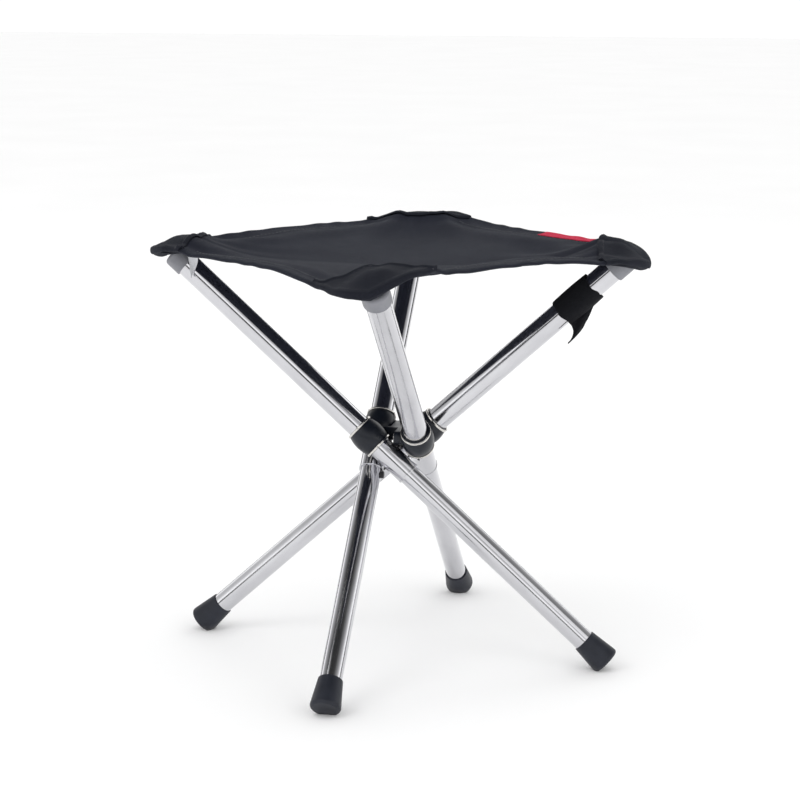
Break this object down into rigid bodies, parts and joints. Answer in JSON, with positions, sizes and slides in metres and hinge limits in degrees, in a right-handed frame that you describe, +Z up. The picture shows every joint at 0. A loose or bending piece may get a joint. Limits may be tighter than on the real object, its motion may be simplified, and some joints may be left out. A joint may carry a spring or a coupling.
{
  "type": "folding camp stool",
  "caption": "Folding camp stool: square cloth seat on crossed telescoping steel tubes that swing on a linked centre hub.",
  "frame": {"origin": "on the floor, under the middle of the seat", "axes": "+Z up; the four hub pivots lie along +X, +Y, -X and -Y"},
  "size_m": [0.448, 0.448, 0.3818],
  "materials": {
    "polished_steel": "polished stainless",
    "dark_steel": "satin",
    "spring_steel": "bright",
    "grey_plastic": "satin",
    "black_plastic": "satin",
    "button_plastic": "satin",
    "black_rubber": "matte",
    "seat_cloth": "woven polyester, matte",
    "strap_cloth": "hook-and-loop pile",
    "label_cloth": "satin ribbon",
    "tag_cloth": "woven"
  },
  "bodies": {
    "core": {"centre_block": "black_plastic", "pivot_rivets": "dark_steel"},
    "pole_a": {"outer_tube_a": "polished_steel", "top_cap_a": "grey_plastic", "hub_sleeve_a": "black_plastic", "hub_rings_a": "polished_steel", "corner_pocket_a": "seat_cloth", "care_label": "label_cloth"},
    "leg_a": {"inner_tube_a": "polished_steel", "foot_a": "black_rubber", "button_spring_a": "spring_steel"},
    "button_a": {"snap_button_a": "button_plastic"},
    "gore_a_next": {"seat_gore_a_next": "seat_cloth"},
    "gore_a_before": {"seat_gore_a_before": "seat_cloth"},
    "pole_b": {"outer_tube_b": "polished_steel", "top_cap_b": "grey_plastic", "hub_sleeve_b": "black_plastic", "hub_rings_b": "polished_steel", "corner_pocket_b": "seat_cloth"},
    "leg_b": {"inner_tube_b": "polished_steel", "foot_b": "black_rubber", "button_spring_b": "spring_steel"},
    "button_b": {"snap_button_b": "button_plastic"},
    "gore_b_next": {"seat_gore_b_next": "seat_cloth"},
    "gore_b_before": {"seat_gore_b_before": "seat_cloth"},
    "pole_c": {"outer_tube_c": "polished_steel", "top_cap_c": "grey_plastic", "hub_sleeve_c": "black_plastic", "hub_rings_c": "polished_steel", "corner_pocket_c": "seat_cloth", "strap_band": "strap_cloth", "strap_tail": "strap_cloth"},
    "leg_c": {"inner_tube_c": "polished_steel", "foot_c": "black_rubber", "button_spring_c": "spring_steel"},
    "button_c": {"snap_button_c": "button_plastic"},
    "gore_c_next": {"seat_gore_c_next": "seat_cloth", "woven_tag": "tag_cloth"},
    "gore_c_before": {"seat_gore_c_before": "seat_cloth"},
    "pole_d": {"outer_tube_d": "polished_steel", "top_cap_d": "grey_plastic", "hub_sleeve_d": "black_plastic", "hub_rings_d": "polished_steel", "corner_pocket_d": "seat_cloth"},
    "leg_d": {"inner_tube_d": "polished_steel", "foot_d": "black_rubber", "button_spring_d": "spring_steel"},
    "button_d": {"snap_button_d": "button_plastic"},
    "gore_d_next": {"seat_gore_d_next": "seat_cloth"},
    "gore_d_before": {"seat_gore_d_before": "seat_cloth"}
  },
  "joints": [
    {"name": "fold_a", "type": "hinge", "parent": "core", "child": "pole_a", "pos_m": [-0.0225, -0.0225, 0.2074], "axis": [0, 1, 0], "range_deg": [0, 47.8]},
    {"name": "leg_slide_a", "type": "slide", "parent": "pole_a", "child": "leg_a", "axis": [-0.7408, 0, 0.6717], "range_m": [0, 0.219], "deforming": ["snap_button_a"]},
    {"name": "button_press_a", "type": "slide", "parent": "leg_a", "child": "button_a", "axis": [0, -1, 0], "range_m": [0, 0.0032], "deforming": ["button_spring_a"]},
    {"name": "cloth_a_next", "type": "hinge", "parent": "pole_a", "child": "gore_a_next", "pos_m": [-0.224, -0.0225, 0.371], "axis": [-0.0223, -0.9988, -0.0436], "range_deg": [0, 131.56], "deforming": ["seat_gore_a_next"]},
    {"name": "cloth_a_before", "type": "hinge", "parent": "pole_a", "child": "gore_a_before", "pos_m": [-0.224, -0.0225, 0.371], "axis": [0.2504, -0.8352, 0.4897], "range_deg": [0, 132.38], "deforming": ["seat_gore_a_before"]},
    {"name": "fold_b", "type": "hinge", "parent": "core", "child": "pole_b", "pos_m": [0.0225, -0.0225, 0.2074], "axis": [-1, 0, 0], "range_deg": [0, 47.8]},
    {"name": "leg_slide_b", "type": "slide", "parent": "pole_b", "child": "leg_b", "axis": [0, -0.7408, 0.6717], "range_m": [0, 0.219], "deforming": ["snap_button_b"]},
    {"name": "button_press_b", "type": "slide", "parent": "leg_b", "child": "button_b", "axis": [1, 0, 0], "range_m": [0, 0.0032], "deforming": ["button_spring_b"]},
    {"name": "cloth_b_next", "type": "hinge", "parent": "pole_b", "child": "gore_b_next", "pos_m": [0.0225, -0.224, 0.371], "axis": [0.9988, -0.0223, -0.0436], "range_deg": [0, 131.56], "deforming": ["seat_gore_b_next"]},
    {"name": "cloth_b_before", "type": "hinge", "parent": "pole_b", "child": "gore_b_before", "pos_m": [0.0225, -0.224, 0.371], "axis": [0.8352, 0.2504, 0.4897], "range_deg": [0, 132.38], "deforming": ["seat_gore_b_before"]},
    {"name": "fold_c", "type": "hinge", "parent": "core", "child": "pole_c", "pos_m": [0.0225, 0.0225, 0.2074], "axis": [0, -1, 0], "range_deg": [0, 47.8]},
    {"name": "leg_slide_c", "type": "slide", "parent": "pole_c", "child": "leg_c", "axis": [0.7408, 0, 0.6717], "range_m": [0, 0.219], "deforming": ["snap_button_c"]},
    {"name": "button_press_c", "type": "slide", "parent": "leg_c", "child": "button_c", "axis": [0, 1, 0], "range_m": [0, 0.0032], "deforming": ["button_spring_c"]},
    {"name": "cloth_c_next", "type": "hinge", "parent": "pole_c", "child": "gore_c_next", "pos_m": [0.224, 0.0225, 0.371], "axis": [0.0223, 0.9988, -0.0436], "range_deg": [0, 131.56], "deforming": ["seat_gore_c_next"]},
    {"name": "cloth_c_before", "type": "hinge", "parent": "pole_c", "child": "gore_c_before", "pos_m": [0.224, 0.0225, 0.371], "axis": [-0.2504, 0.8352, 0.4897], "range_deg": [0, 132.38], "deforming": ["seat_gore_c_before"]},
    {"name": "fold_d", "type": "hinge", "parent": "core", "child": "pole_d", "pos_m": [-0.0225, 0.0225, 0.2074], "axis": [1, 0, 0], "range_deg": [0, 47.8]},
    {"name": "leg_slide_d", "type": "slide", "parent": "pole_d", "child": "leg_d", "axis": [0, 0.7408, 0.6717], "range_m": [0, 0.219], "deforming": ["snap_button_d"]},
    {"name": "button_press_d", "type": "slide", "parent": "leg_d", "child": "button_d", "axis": [-1, 0, 0], "range_m": [0, 0.0032], "deforming": ["button_spring_d"]},
    {"name": "cloth_d_next", "type": "hinge", "parent": "pole_d", "child": "gore_d_next", "pos_m": [-0.0225, 0.224, 0.371], "axis": [-0.9988, 0.0223, -0.0436], "range_deg": [0, 131.56], "deforming": ["seat_gore_d_next"]},
    {"name": "cloth_d_before", "type": "hinge", "parent": "pole_d", "child": "gore_d_before", "pos_m": [-0.0225, 0.224, 0.371], "axis": [-0.8352, -0.2504, 0.4897], "range_deg": [0, 132.38], "deforming": ["seat_gore_d_before"]}
  ],
  "couplings": [
    {"joint": "button_press_a", "follows": "leg_slide_a", "ratio": 0.014597},
    {"joint": "cloth_a_next", "follows": "fold_a", "ratio": 2.7513},
    {"joint": "cloth_a_before", "follows": "fold_a", "ratio": 2.7685},
    {"joint": "fold_b", "follows": "fold_a", "ratio": 1},
    {"joint": "button_press_b", "follows": "leg_slide_b", "ratio": 0.014597},
    {"joint": "cloth_b_next", "follows": "fold_a", "ratio": 2.7513},
    {"joint": "cloth_b_before", "follows": "fold_a", "ratio": 2.7685},
    {"joint": "fold_c", "follows": "fold_a", "ratio": 1},
    {"joint": "button_press_c", "follows": "leg_slide_c", "ratio": 0.014597},
    {"joint": "cloth_c_next", "follows": "fold_a", "ratio": 2.7513},
    {"joint": "cloth_c_before", "follows": "fold_a", "ratio": 2.7685},
    {"joint": "fold_d", "follows": "fold_a", "ratio": 1},
    {"joint": "button_press_d", "follows": "leg_slide_d", "ratio": 0.014597},
    {"joint": "cloth_d_next", "follows": "fold_a", "ratio": 2.7513},
    {"joint": "cloth_d_before", "follows": "fold_a", "ratio": 2.7685}
  ]
}
